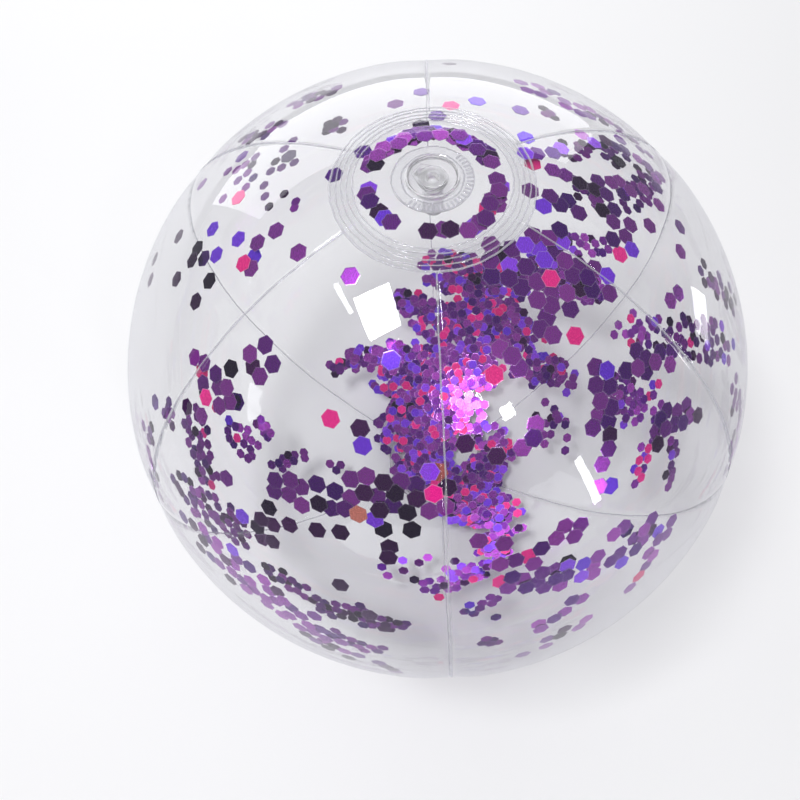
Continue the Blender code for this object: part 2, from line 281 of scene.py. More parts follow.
def flake_tone_group():
    tree = bpy.data.node_groups.new("flake_tone", "ShaderNodeTree")
    group_socket(tree, "Deep", "INPUT", "NodeSocketColor", (0.1, 0.02, 0.2, 1.0))
    group_socket(tree, "Bright", "INPUT", "NodeSocketColor", (0.3, 0.06, 0.5, 1.0))
    group_socket(tree, "Streaks", "INPUT", "NodeSocketFloat", 0.04)
    group_socket(tree, "Color", "OUTPUT", "NodeSocketColor")
    group_socket(tree, "Roughness", "OUTPUT", "NodeSocketFloat")
    start = add_node(tree, "NodeGroupInput")
    end = add_node(tree, "NodeGroupOutput")
    tone = add_node(tree, "ShaderNodeAttribute", attribute_name="tone")
    place = add_node(tree, "ShaderNodeTexCoord")
    brush = add_node(tree, "ShaderNodeTexNoise")
    brush.inputs["Scale"].default_value = 4200.0
    stretch = add_node(tree, "ShaderNodeMapping")
    stretch.inputs["Scale"].default_value = (1.0, 0.12, 0.6)
    scaled = add_node(tree, "ShaderNodeMath", operation="MULTIPLY_ADD")
    mix = add_node(tree, "ShaderNodeMix", data_type="RGBA")
    # Painted highlight: the flake's outer band, marked by the "rim" attribute, is mixed towards a pale
    # lavender.
    rim = add_node(tree, "ShaderNodeAttribute", attribute_name="rim")
    rim_highlight_part = add_node(tree, "ShaderNodeMath", operation="MULTIPLY")
    rim_highlight_part.inputs[1].default_value = 0.5
    rim_highlighted = add_node(tree, "ShaderNodeMix", data_type="RGBA")
    rim_highlighted.inputs["B"].default_value = (0.82, 0.70, 0.92, 1.0)
    rough = add_node(tree, "ShaderNodeMapRange")
    rough.inputs["To Min"].default_value = 0.16
    rough.inputs["To Max"].default_value = 0.36
    link = tree.links.new
    link(place.outputs["Object"], stretch.inputs["Vector"])
    link(stretch.outputs["Vector"], brush.inputs["Vector"])
    link(brush.outputs["Fac"], scaled.inputs[0])
    link(start.outputs["Streaks"], scaled.inputs[1])
    link(tone.outputs["Fac"], scaled.inputs[2])
    link(scaled.outputs[0], mix.inputs["Factor"])
    link(start.outputs["Deep"], mix.inputs["A"])
    link(start.outputs["Bright"], mix.inputs["B"])
    link(rim.outputs["Fac"], rim_highlight_part.inputs[0])
    link(rim_highlight_part.outputs[0], rim_highlighted.inputs["Factor"])
    link(mix.outputs["Result"], rim_highlighted.inputs["A"])
    link(rim_highlighted.outputs["Result"], end.inputs["Color"])
    link(brush.outputs["Fac"], rough.inputs["Value"])
    link(rough.outputs["Result"], end.inputs["Roughness"])
    return tree


SOFT_RIPPLE = soft_ripple_group()
FLAKE_TONE = flake_tone_group()
print("groups:", SOFT_RIPPLE.name, FLAKE_TONE.name)

# %% [markdown]
# ## Film, weld and vinyl
#
# Film this thin bends light by next to nothing, so it is not refractive glass: it lets the light
# straight through and adds a reflection that grows at a glancing angle. That is a Transparent
# shader mixed with a Glossy one by Fresnel. A weld is the same film pressed and frosted, so it
# also scatters a little white. The valve is thick soft vinyl, which does bend light.

# %% Clear materials
def new_material(name):
    material = bpy.data.materials.new(name)
    material.use_nodes = True
    material.node_tree.nodes.clear()
    output = add_node(material.node_tree, "ShaderNodeOutputMaterial")
    return material, material.node_tree, output


def film_material(name, clear, gloss, ripple_scale, ripple_strength, frost):
    material, tree, output = new_material(name)
    link = tree.links.new
    ripple = add_node(tree, "ShaderNodeGroup", node_tree=SOFT_RIPPLE)
    ripple.inputs["Scale"].default_value = ripple_scale
    ripple.inputs["Strength"].default_value = ripple_strength
    ripple.inputs["Depth"].default_value = 0.0004
    through = add_node(tree, "ShaderNodeBsdfTransparent")
    through.inputs["Color"].default_value = clear
    shine = add_node(tree, "ShaderNodeBsdfGlossy")
    shine.inputs["Color"].default_value = gloss
    shine.inputs["Roughness"].default_value = 0.03
    edge = add_node(tree, "ShaderNodeFresnel")
    edge.inputs["IOR"].default_value = 1.55
    side = add_node(tree, "ShaderNodeNewGeometry")
    front = add_node(tree, "ShaderNodeMath", operation="SUBTRACT")
    front.inputs[0].default_value = 1.0
    outer_only = add_node(tree, "ShaderNodeMath", operation="MULTIPLY")
    mix = add_node(tree, "ShaderNodeMixShader")
    link(ripple.outputs["Normal"], shine.inputs["Normal"])
    link(side.outputs["Backfacing"], front.inputs[1])
    link(edge.outputs[0], outer_only.inputs[0])
    link(front.outputs[0], outer_only.inputs[1])
    link(outer_only.outputs[0], mix.inputs[0])
    link(through.outputs[0], mix.inputs[1])
    link(shine.outputs[0], mix.inputs[2])
    if frost > 0:
        haze = add_node(tree, "ShaderNodeBsdfDiffuse")
        haze.inputs["Color"].default_value = (0.93, 0.92, 0.96, 1.0)
        frosted = add_node(tree, "ShaderNodeMixShader")
        frosted.inputs[0].default_value = frost
        link(mix.outputs[0], frosted.inputs[1])
        link(haze.outputs[0], frosted.inputs[2])
        link(frosted.outputs[0], output.inputs[0])
    else:
        link(mix.outputs[0], output.inputs[0])
    return material


def vinyl_material(name):
    material, tree, output = new_material(name)
    link = tree.links.new
    shader = add_node(tree, "ShaderNodeBsdfPrincipled")
    shader.inputs["Base Color"].default_value = (0.97, 0.97, 0.985, 1.0)
    shader.inputs["Roughness"].default_value = 0.16
    shader.inputs["IOR"].default_value = 1.33
    shader.inputs["Transmission Weight"].default_value = 0.82
    ripple = add_node(tree, "ShaderNodeGroup", node_tree=SOFT_RIPPLE)
    ripple.inputs["Scale"].default_value = 260.0
    ripple.inputs["Strength"].default_value = 0.35
    ripple.inputs["Depth"].default_value = 0.0003
    link(ripple.outputs["Normal"], shader.inputs["Normal"])
    link(shader.outputs[0], output.inputs[0])
    return material


FILM_LOOK = film_material("clear_film", (0.960, 0.961, 0.964, 1), (0.9, 0.9, 0.92, 1), 14.0, 0.5, 0.004)
WELD_LOOK = film_material("weld_line", (0.80, 0.80, 0.82, 1), (0.95, 0.95, 1.0, 1), 500.0, 0.6, 0.22)
VINYL_LOOK = vinyl_material("clear_vinyl")
print("clear finishes:", FILM_LOOK.name, WELD_LOOK.name, VINYL_LOOK.name)

# %% [markdown]
# ## Sequin finishes
#
# The sequins are punched from dyed metallised film. Most are purple, some are blue-violet, and a
# few are hot pink or salmon. Each of these finishes is one material with a deep and a bright tone of
# the same dye. The "dark" finish is painted shade: a copy of the purple made almost black, for
# flakes that look so where they face away from the light.

# %% Sequin materials
def flake_material(name, deep, bright, metallic):
    material, tree, output = new_material(name)
    shader = add_node(tree, "ShaderNodeBsdfPrincipled")
    shader.inputs["Metallic"].default_value = metallic
    tone = add_node(tree, "ShaderNodeGroup", node_tree=FLAKE_TONE)
    tone.inputs["Deep"].default_value = deep
    tone.inputs["Bright"].default_value = bright
    tree.links.new(tone.outputs["Color"], shader.inputs["Base Color"])
    tree.links.new(tone.outputs["Roughness"], shader.inputs["Roughness"])
    tree.links.new(shader.outputs[0], output.inputs[0])
    return material


FLAKE_LOOKS = {
    "purple": flake_material("sequin_purple", (0.085, 0.004, 0.250, 1), (0.46, 0.075, 0.56, 1), 0.96),
    # Painted shade: the purple darkened to near black, not a dye of its own.
    "dark": flake_material("sequin_dark", (0.014, 0.001, 0.040, 1), (0.105, 0.010, 0.150, 1), 0.96),
    "violet": flake_material("sequin_violet", (0.13, 0.02, 0.72, 1), (0.36, 0.07, 1.0, 1), 0.50),
    "pink": flake_material("sequin_pink", (0.80, 0.008, 0.22, 1), (1.0, 0.02, 0.34, 1), 0.35),
    "salmon": flake_material("sequin_salmon", (0.70, 0.16, 0.14, 1), (0.95, 0.34, 0.26, 1), 0.70),
}
print("sequin finishes:", ", ".join(FLAKE_LOOKS))

# %% [markdown]
# ## Turning shapes
#
# Most of the ball is turned or swept round an axis. One helper makes a few vertices joined in a
# line, and bmesh's spin operator sweeps them. The seam of a full turn is merged, and so are the
# copies of a point that lies on the axis.

# %% Helpers for turned pieces
UP = Vector((0.0, 0.0, 1.0))
MERGE_DISTANCE = 0.000005


def keep_piece(name, shape, look, body, stands_for=()):
    mesh = bpy.data.meshes.new(name)
    shape.to_mesh(mesh)
    shape.free()
    mesh.shade_smooth()
    mesh.materials.append(look)
    piece = bpy.data.objects.new(name, mesh)
    scene.collection.objects.link(piece)
    if body:
        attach(piece, body)
    if stands_for:
        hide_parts(*stands_for)
    return piece


def line_of_points(shape, points, closed=False):
    corners = [shape.verts.new(p) for p in points]
    edges = [shape.edges.new(pair) for pair in zip(corners, corners[1:])]
    if closed:
        edges.append(shape.edges.new((corners[-1], corners[0])))
    return corners + edges


def turned_shape(profile, steps, closed=False):
    """A solid turned round the polar axis from a (radius, height) profile."""
    shape = bmesh.new()
    geometry = line_of_points(shape, [(r, 0.0, z) for r, z in profile], closed)
    bmesh.ops.spin(
        shape, geom=geometry, cent=(0, 0, 0), axis=UP, angle=2 * math.pi, steps=steps, use_merge=True
    )
    bmesh.ops.remove_doubles(shape, verts=shape.verts, dist=MERGE_DISTANCE)
    bmesh.ops.recalc_face_normals(shape, faces=shape.faces)
    return shape


def sphere_height(radius, sphere=BALL_RADIUS, side=1):
    return CENTRE.z + side * math.sqrt(sphere**2 - radius**2)


# %% [markdown]
# ## The six gores
#
# A gore is a long leaf of film that runs from one end disc to the other. It could be cut from a
# sphere, but a sphere's rows would not follow the seams. Here one meridian is drawn as a line of
# vertices and spun through a sixth of a turn. Two things are then pressed into it: the film dips
# slightly towards the seams, because a weld is stiffer than the film beside it, and fine puckers
# run off the welds. Solidify gives it the film's thickness.

# %% Gore shape
GORE_ROWS = 150
GORE_STEPS = 40
SEAM_DIP = 0.0011
PUCKER_HEIGHT = 0.00035
PUCKER_REACH = 0.022


def pucker(arc, seam_distance, seed):
    """Height of the little wrinkles beside a weld: they fade with distance from it."""
    if seam_distance > PUCKER_REACH:
        return 0.0
    fade = (1.0 - seam_distance / PUCKER_REACH) ** 2
    wave = math.sin(arc * 520.0 + seed) * 0.6 + math.sin(arc * 830.0 + 2.1 * seed) * 0.4
    swell = 0.5 + 0.5 * math.sin(arc * 37.0 + seed * 1.7)
    return PUCKER_HEIGHT * fade * wave * swell


def dress_gore_point(point, seam_azimuth, seed):
    offset = point - CENTRE
    polar = offset.angle(UP)
    azimuth = (math.atan2(offset.y, offset.x) - seam_azimuth) % (2 * math.pi)
    across = min(max(azimuth / GORE_ANGLE, 0.0), 1.0)
    girth = BALL_RADIUS * math.sin(polar)
    near = min(across, 1.0 - across) * GORE_ANGLE * girth
    side_seed = seed if across < 0.5 else seed + 1.0
    dip = SEAM_DIP * math.exp(-((near / 0.012) ** 2)) * math.sin(polar)
    height = pucker(polar * BALL_RADIUS, near, side_seed * 2.4) * math.sin(polar)
    return CENTRE + offset.normalized() * (BALL_RADIUS - 0.0004 - dip + height)


def gore_film(number):
    seam = SEAM_AZIMUTH + number * GORE_ANGLE
    shape = bmesh.new()
    points = []
    for row in range(GORE_ROWS + 1):
        polar = POLE_TILT_TIP + (math.pi - 2 * POLE_TILT_TIP) * row / GORE_ROWS
        flat = BALL_RADIUS * math.sin(polar)
        height = CENTRE.z + BALL_RADIUS * math.cos(polar)
        points.append((flat * math.cos(seam), flat * math.sin(seam), height))
    geometry = line_of_points(shape, points)
    bmesh.ops.spin(
        shape, geom=geometry, cent=(0, 0, 0), axis=UP, angle=GORE_ANGLE, steps=GORE_STEPS, use_merge=False
    )
    for vertex in shape.verts:
        vertex.co = dress_gore_point(vertex.co, seam, number)
    bmesh.ops.recalc_face_normals(shape, faces=shape.faces)
    middle = shape.faces[len(shape.faces) // 2]
    if middle.normal.dot(middle.calc_center_median() - CENTRE) < 0:
        bmesh.ops.reverse_faces(shape, faces=shape.faces)
    name = f"gore_film_{number + 1}"
    piece = keep_piece(name, shape, FILM_LOOK, "envelope", [f"gore_{number + 1}"])
    wall = piece.modifiers.new("film", "SOLIDIFY")
    wall.thickness = FILM
    wall.offset = -1.0
    return piece


gores = [gore_film(number) for number in range(GORES)]
print("gore vertices:", len(gores[0].data.vertices))

# %% [markdown]
# ## The welded seams
#
# Where two gores lap, heat presses them into one narrow frosted line. A line painted on the film
# would be flat, so each seam is a real bead: a low section of five points swept along the meridian
# by spinning it about a horizontal axis through the ball's centre.

# %% Seam beads
SEAM_WIDTH = 0.0009
SEAM_RISE = 0.00035
PINCH_ARC = 0.147
PINCH_LENGTH = 0.0035
PINCH_SPREAD = 0.9
SEAM_STEPS = 220


def seam_bead(number):
    azimuth = SEAM_AZIMUTH + number * GORE_ANGLE
    outwards = Vector((math.cos(azimuth), math.sin(azimuth), 0.0))
    sideways = UP.cross(outwards)
    start = math.asin((DISC_EDGE - 0.0005) / BALL_RADIUS)
    sweep = math.pi - 2 * start
    base = BALL_RADIUS - 0.0006
    half = SEAM_WIDTH / 2
    section = (
        (-half, -SEAM_RISE * 0.4), (-half * 0.8, SEAM_RISE * 0.7), (0.0, SEAM_RISE),
        (half * 0.8, SEAM_RISE * 0.7), (half, -SEAM_RISE * 0.4),
    )
    ray = outwards * math.sin(start) + UP * math.cos(start)
    shape = bmesh.new()
    points = [CENTRE + ray * (base + rise) + sideways * side for side, rise in section]
    geometry = line_of_points(shape, points, closed=True)
    first_loop = [item for item in geometry if isinstance(item, bmesh.types.BMEdge)]
    bmesh.ops.contextual_create(shape, geom=first_loop)
    swept = bmesh.ops.spin(
        shape, geom=geometry, cent=CENTRE, axis=sideways, angle=sweep, steps=SEAM_STEPS, use_merge=False
    )
    last_loop = [item for item in swept["geom_last"] if isinstance(item, bmesh.types.BMEdge)]
    bmesh.ops.contextual_create(shape, geom=last_loop)
    for vertex in shape.verts:
        offset = vertex.co - CENTRE
        arc = offset.angle(UP) * BALL_RADIUS
        sway = 0.00025 * math.sin(arc * 61.0 + number) + 0.00012 * math.sin(arc * 240.0 + number * 3.0)
        if number == 0:
            spread = PINCH_SPREAD * math.exp(-(((arc - PINCH_ARC) / PINCH_LENGTH) ** 2))
            sway += spread * offset.dot(sideways)
        vertex.co += sideways * sway - offset.normalized() * SEAM_DIP * math.sin(offset.angle(UP)) * 0.8
    bmesh.ops.recalc_face_normals(shape, faces=shape.faces)
    return keep_piece(f"seam_weld_{number + 1}", shape, WELD_LOOK, "envelope")


seams = [seam_bead(number) for number in range(GORES)]
print("seam bead vertices:", len(seams[0].data.vertices))

# %% [markdown]
# ## The end discs
#
# A round disc closes each end of the ball over the gores' tips. A ring tool welds it down with
# several fine raised circles. The discs are turned from a profile whose upper line carries those
# ridges; the bottom disc is pressed flat in the middle where the ball rests, and the top one has a
# hole for the valve.

# %% Discs
WELD_RINGS = 5
RING_RISE = 0.00032
RING_WIDTH = 0.0007
DISC_SPHERE = BALL_RADIUS + 0.0002


def ringed_profile(inner_radius, side):
    points = []
    plain = 14
    for step in range(plain):
        radius = inner_radius + (TIP_EDGE - inner_radius) * step / plain
        points.append((radius, sphere_height(radius, DISC_SPHERE, side)))
    fine = 90
    for step in range(fine + 1):
        part = step / fine
        radius = TIP_EDGE + (DISC_EDGE - TIP_EDGE) * part
        wave = max(0.0, math.cos(part * 2 * math.pi * (WELD_RINGS - 1))) ** 3
        points.append((radius, sphere_height(radius, DISC_SPHERE + RING_RISE * wave, side)))
    return points


def film_disc(name, inner_radius, side, stands_for):
    outer = ringed_profile(inner_radius, side)
    inner = [(r, z - side * FILM * 1.4) for r, z in ringed_profile(inner_radius, side)]
    if inner_radius > REST_FLAT:
        outer = [(0.0, 0.0)] + [(inner_radius, 0.0)] + outer[1:]
        inner = [(0.0, FILM * 1.4)] + [(inner_radius, FILM * 1.4)] + inner[1:]
        shape = turned_shape(outer + inner[::-1], 144)
    else:
        shape = turned_shape(outer + inner[::-1], 144, closed=True)
    piece = keep_piece(name, shape, FILM_LOOK, "envelope", [stands_for])
    return piece


def add_ring(shape, radius, height, slope, half_width, rise):
    """Sweep a small six-sided section round the polar axis, lying on a slope at a height."""
    section = []
    for step in range(6):
        turn = 2 * math.pi * step / 6
        out = half_width * math.cos(turn)
        section.append((radius + out, 0.0, height - slope * out + rise * (0.5 + math.sin(turn))))
    geometry = line_of_points(shape, section, closed=True)
    bmesh.ops.spin(
        shape, geom=geometry, cent=(0, 0, 0), axis=UP, angle=2 * math.pi, steps=180, use_merge=True
    )


def finish_rings(shape):
    """Merge the rings' own joins and let them wander a little, as a hand-fed weld does."""
    bmesh.ops.remove_doubles(shape, verts=shape.verts, dist=MERGE_DISTANCE)
    for vertex in shape.verts:
        turn = math.atan2(vertex.co.y, vertex.co.x)
        radius = vertex.co.xy.length
        wander = 0.00018 * math.sin(turn * 7 + radius * 900) + 0.00010 * math.sin(turn * 31 + radius * 400)
        vertex.co.x += wander * math.cos(turn)
        vertex.co.y += wander * math.sin(turn)
    bmesh.ops.recalc_face_normals(shape, faces=shape.faces)
    return shape


def weld_rings(name, side):
    """The raised circles that the ring tool leaves along the edge of a disc."""
    shape = bmesh.new()
    for number in range(WELD_RINGS):
        radius = TIP_EDGE + (DISC_EDGE - TIP_EDGE) * number / (WELD_RINGS - 1)
        half_width = RING_WIDTH / 2 * (1.5 if number == WELD_RINGS - 1 else 1.0)
        slope = side * radius / math.sqrt(DISC_SPHERE**2 - radius**2)
        height = sphere_height(radius, DISC_SPHERE, side)
        add_ring(shape, radius, height, slope, half_width, side * RING_RISE)
    return keep_piece(name, finish_rings(shape), WELD_LOOK, "envelope")


top_film = film_disc("top_disc_film", COLLAR_EDGE + 0.0004, 1, "top_disc")
film_disc("bottom_disc_film", REST_FLAT + 0.000001, -1, "bottom_disc")
top_rings = weld_rings("top_disc_weld", 1)
weld_rings("bottom_disc_weld", -1)
print("disc vertices:", len(top_film.data.vertices), "ring vertices:", len(top_rings.data.vertices))

# %% [markdown]
# ## The valve
#
# The valve is moulded in thick clear vinyl. Its flange is welded under the disc with a toothed
# ring, and a low collar stands round the cup. In the cup sits the stem, closed by a plug on a broad
# teardrop strap. Each turned piece starts from its outline; the flange, stem and plug, and the flat
# tabs too, have their sharp edges rounded with the bevel operator, because moulded vinyl has no
# sharp edges. The cup's web is turned from an outline that is already curved.

# %% Helpers for moulded pieces
def round_edges(shape, width, segments=3, sharper_than=0.5):
    edges = [e for e in shape.edges if e.is_manifold and e.calc_face_angle() > sharper_than]
    bmesh.ops.bevel(
        shape, geom=edges, offset=width, offset_type="OFFSET", segments=segments, profile=0.5,
        affect="EDGES", clamp_overlap=True, material=-1,
    )
    return shape


COLLAR_WALL = 0.0008
FLANGE_TOP = flange_high.z - 0.0020
VALVE_AZIMUTH = math.radians(140.0)
MOULDED_STEPS = 96
TEETH = 24
TEETH_START = math.radians(-128.0)
TEETH_ARC = math.radians(172.0)
TOOTH_WIDTH = 0.0011
TOOTH_RISE = 0.00045

# %% Flange with its collar and weld teeth
def valve_flange():
    inner = COLLAR_EDGE - COLLAR_WALL
    profile = [
        (inner, flange_high.z), (COLLAR_EDGE, flange_high.z), (COLLAR_EDGE, FLANGE_TOP),
        (FLANGE_EDGE, FLANGE_TOP), (FLANGE_EDGE, flange_low.z), (inner, flange_low.z),
    ]
    shape = round_edges(turned_shape(profile, MOULDED_STEPS, closed=True), 0.0003)
    return keep_piece("valve_flange_moulding", shape, VINYL_LOOK, "envelope", ["valve_flange"])


def weld_teeth():
    """Short radial pads where the tool bit hardest, over half of the flange: one bar, spun."""
    inner = COLLAR_EDGE + 0.0030
    outer = FLANGE_EDGE - 0.0006
    shape = bmesh.new()
    bmesh.ops.create_cube(shape, size=1.0)
    shape.transform(Matrix.Diagonal((outer - inner, TOOTH_WIDTH, TOOTH_RISE, 1.0)))
    round_edges(shape, TOOTH_RISE * 0.4, 2)
    shape.transform(Matrix.Translation(((inner + outer) / 2, 0.0, FLANGE_TOP + TOOTH_RISE * 0.52)))
    shape.transform(Matrix.Rotation(TEETH_START, 4, "Z"))
    bmesh.ops.spin(
        shape, geom=shape.verts[:] + shape.edges[:] + shape.faces[:], cent=(0, 0, 0), axis=UP,
        angle=TEETH_ARC, steps=TEETH - 1, use_duplicate=True,
    )
    return keep_piece("valve_weld_teeth", shape, WELD_LOOK, "envelope")


def flange_rings():
    """Two fine circles, one near the flange's edge and one round the foot of the collar."""
    shape = bmesh.new()
    for radius in (COLLAR_EDGE + 0.0018, FLANGE_EDGE - 0.0004):
        add_ring(shape, radius, FLANGE_TOP, 0.0, RING_WIDTH / 2, RING_RISE * 0.7)
    return keep_piece("valve_weld_rings", finish_rings(shape), WELD_LOOK, "envelope")


flange = valve_flange()
teeth = weld_teeth()
flange_rings()
print("flange vertices:", len(flange.data.vertices), "teeth vertices:", len(teeth.data.vertices))

# %% Web, stem, plug, strap and flap
def valve_web():
    outer = COLLAR_EDGE - COLLAR_WALL - 0.0002
    inner = 0.0052
    wall = 0.0005
    depth = web_high.z - web_low.z
    upper = []
    lower = []
    for step in range(15):
        turn = 0.5 * math.pi * step / 14
        out = math.cos(turn)
        down = math.sin(turn)
        upper.append((inner + (outer - wall - inner) * out, web_high.z - (depth - wall) * down))
        lower.append((inner + (outer - inner) * out, web_high.z - depth * down))
    shape = turned_shape(upper[::-1] + lower, MOULDED_STEPS, closed=True)
    piece = keep_piece("valve_cup_web", shape, VINYL_LOOK, None, ["valve_web"])
    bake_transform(piece)
    return piece


def valve_stem():
    bore = 0.0035
    rim = 0.0063
    tube = 0.0050
    rim_step = 0.0010
    profile = [
        (bore, stem_high.z), (rim, stem_high.z),
        (rim, stem_high.z - rim_step), (tube, stem_high.z - rim_step),
        (tube, stem_low.z), (bore, stem_low.z),
    ]
    shape = round_edges(turned_shape(profile, MOULDED_STEPS, closed=True), 0.0003)
    lug = bmesh.ops.create_cube(shape, size=1.0)["verts"]
    reach = 0.0088
    bmesh.ops.transform(
        shape, verts=lug,
        matrix=Matrix.Rotation(VALVE_AZIMUTH, 4, "Z")
        @ Matrix.Translation(((reach + tube) / 2, 0, stem_high.z - rim_step / 2))
        @ Matrix.Diagonal((reach - tube, 0.0044, rim_step * 0.9, 1.0)),
    )
    return keep_piece("valve_stem_tube", shape, VINYL_LOOK, "valve_stem", ["valve_stem"])


def plug_cap():
    spigot = 0.0032
    cap = 0.0064
    cap_low = strap_high.z + 0.0003
    ring_top = plug_high.z
    deck = ring_top - 0.0005
    profile = [
        (0.0, deck - 0.0002), (cap * 0.42, deck), (cap * 0.54, ring_top), (cap * 0.66, ring_top),
        (cap * 0.78, deck), (cap, deck), (cap, cap_low), (spigot, cap_low), (spigot, strap_low.z - 0.001),
        (spigot * 0.9, plug_low.z + 0.0012), (spigot * 0.7, plug_low.z), (0.0, plug_low.z),
    ]
    shape = round_edges(turned_shape(profile, MOULDED_STEPS), 0.00025, sharper_than=0.6)
    return keep_piece("plug_cap", shape, VINYL_LOOK, "plug", ["plug"])


def teardrop_outline(round_radius, reach, half_width, count):
    distance = math.hypot(reach, half_width)
    tangent = math.atan2(half_width, reach) + math.acos(round_radius / distance)
    points = [(reach, -half_width, 0.0), (reach, half_width, 0.0)]
    for step in range(count + 1):
        turn = tangent + (2 * math.pi - 2 * tangent) * step / count
        points.append((round_radius * math.cos(turn), round_radius * math.sin(turn), 0.0))
    return points


def flat_tab(name, outline, hole_radius, low, high, body, stands_for):
    """A flat tab: its outline bridged to a hole or filled, then made solid and rounded."""
    shape = bmesh.new()
    rim = line_of_points(shape, outline, closed=True)
    rim_edges = [item for item in rim if isinstance(item, bmesh.types.BMEdge)]
    if hole_radius:
        hole = bmesh.ops.create_circle(shape, segments=48, radius=hole_radius)["verts"]
        hole_edges = list({edge for vertex in hole for edge in vertex.link_edges})
        bmesh.ops.triangle_fill(shape, edges=rim_edges + hole_edges, use_beauty=True)
    else:
        bmesh.ops.contextual_create(shape, geom=rim_edges)
    grown = bmesh.ops.extrude_face_region(shape, geom=shape.faces[:])
    moved = [item for item in grown["geom"] if isinstance(item, bmesh.types.BMVert)]
    bmesh.ops.translate(shape, verts=moved, vec=(0, 0, high - low))
    bmesh.ops.recalc_face_normals(shape, faces=shape.faces)
    round_edges(shape, 0.00012, 2, sharper_than=1.2)
    shape.transform(Matrix.Rotation(VALVE_AZIMUTH, 4, "Z") @ Matrix.Translation((0, 0, low)))
    return keep_piece(name, shape, VINYL_LOOK, body, [stands_for])


web = valve_web()
stem = valve_stem()
plug = plug_cap()
strap = flat_tab(
    "plug_strap_tab", teardrop_outline(0.0072, 0.0096, 0.0036, 40), 0.0035,
    strap_low.z, strap_high.z, "plug", "plug_strap",
)
flap = flat_tab(
    "check_flap_disc", teardrop_outline(0.0048, 0.0059, 0.0018, 36), None,
    flap_low.z, flap_high.z, "check_flap", "check_flap",
)
print("valve pieces:", web.name, stem.name, plug.name, strap.name, flap.name)

# %% [markdown]
# ## The sequins
#
# Hundreds of flat hexagons lie against the inside of the film. Random places all over it would look
# even, but real flakes gather in drifts and chains. So the groups are drawn as strokes on the
# sphere, like chalk marks, and chance only fills them. The angles are whole or half degrees, read
# from a degree grid. Flakes that lie alone have a place of their own.

# %% Sequin sizes and layers
FLAKE_ACROSS_FLATS = 0.008
FLAKE_CORNER = FLAKE_ACROSS_FLATS / math.sqrt(3.0)
FLAKE_THICKNESS = 0.00006
FLAKE_RIM = 0.00035
FLAKE_LIFT = 0.00003
LAYER_STEP = 0.00022
CLING_LAYERS = 7
LOOSE_LAYERS = 14
CLING_START = 0.0010
LOOSE_START = 0.0045
SCATTER_SEED = 12
LONE_JITTER = 0.4
TRIES_PER_FLAKE = 30
PACKED = 0.6
HEAPED = 0.55
APART = 1.25
FAR_APART = 1.1
print("flake", FLAKE_ACROSS_FLATS, "across flats, layers", CLING_LAYERS, LOOSE_LAYERS)

# %% Mixes of finishes
# The "dark" finish is painted shade, so each mix that holds it paints shade onto that share of its flakes.
MIXES = {
    "usual": (("purple", 82), ("dark", 8), ("violet", 7), ("pink", 3)),
    "deep": (("purple", 60), ("dark", 40)),
    "plum": (("purple", 75), ("dark", 25)),
    "bright": (("purple", 66), ("dark", 3), ("violet", 17), ("pink", 14)),
    "purple": (("purple", 1),),
    "dark": (("dark", 1),),
    "pink": (("pink", 1),),
    "violet": (("violet", 1),),
    "salmon": (("salmon", 1),),
}
print("mixes:", ", ".join(MIXES))

# %% Sequins that lie alone
# Azimuth and polar angle of each, by finish.
LONE_SEQUINS = {
    "salmon": ((-106, 45),),
    "pink": ((77, 15), (-164, 28), (-144, 43), (-116, 34), (-92, 41), (-76, 27), (-44, 20)),
    "violet": (
        (22, 14), (-14, 15), (180, 33), (-172, 32), (-173, 28), (-105, 25), (-107, 36),
        (-93, 38), (-103, 46), (-127, 54), (-127, 62), (-40, 18), (-49, 34),
    ),
    # Painted shade: lone flakes given the darkened copy of the purple.
    "dark": (
        (107, 17), (84, 33), (175, 42), (-175, 37), (-173, 41), (175, 51), (180, 51),
        (-163, 37), (-147, 47), (-108, 34), (-105, 42), (-102, 44), (-118, 51), (-113, 50),
        (-109, 49), (-108, 58), (-79, 37), (-85, 35), (-103, 63),
    ),
    "purple": (
        (155, 33), (161, 41), (-168, 25), (-168, 22), (-161, 27), (-155, 20), (-153, 41),
        (-155, 54), (-139, 31), (-135, 32), (-143, 46), (-130, 17), (-132, 50), (-12, 20),
        (-8, 28), (-5, 32), (8, 32), (10, 36), (4, 35), (0, 39), (-8, 38), (-22, 37),
        (-19, 38), (-70, 65),
    ),
}
print("sequins that lie alone:", sum(len(spots) for spots in LONE_SEQUINS.values()))

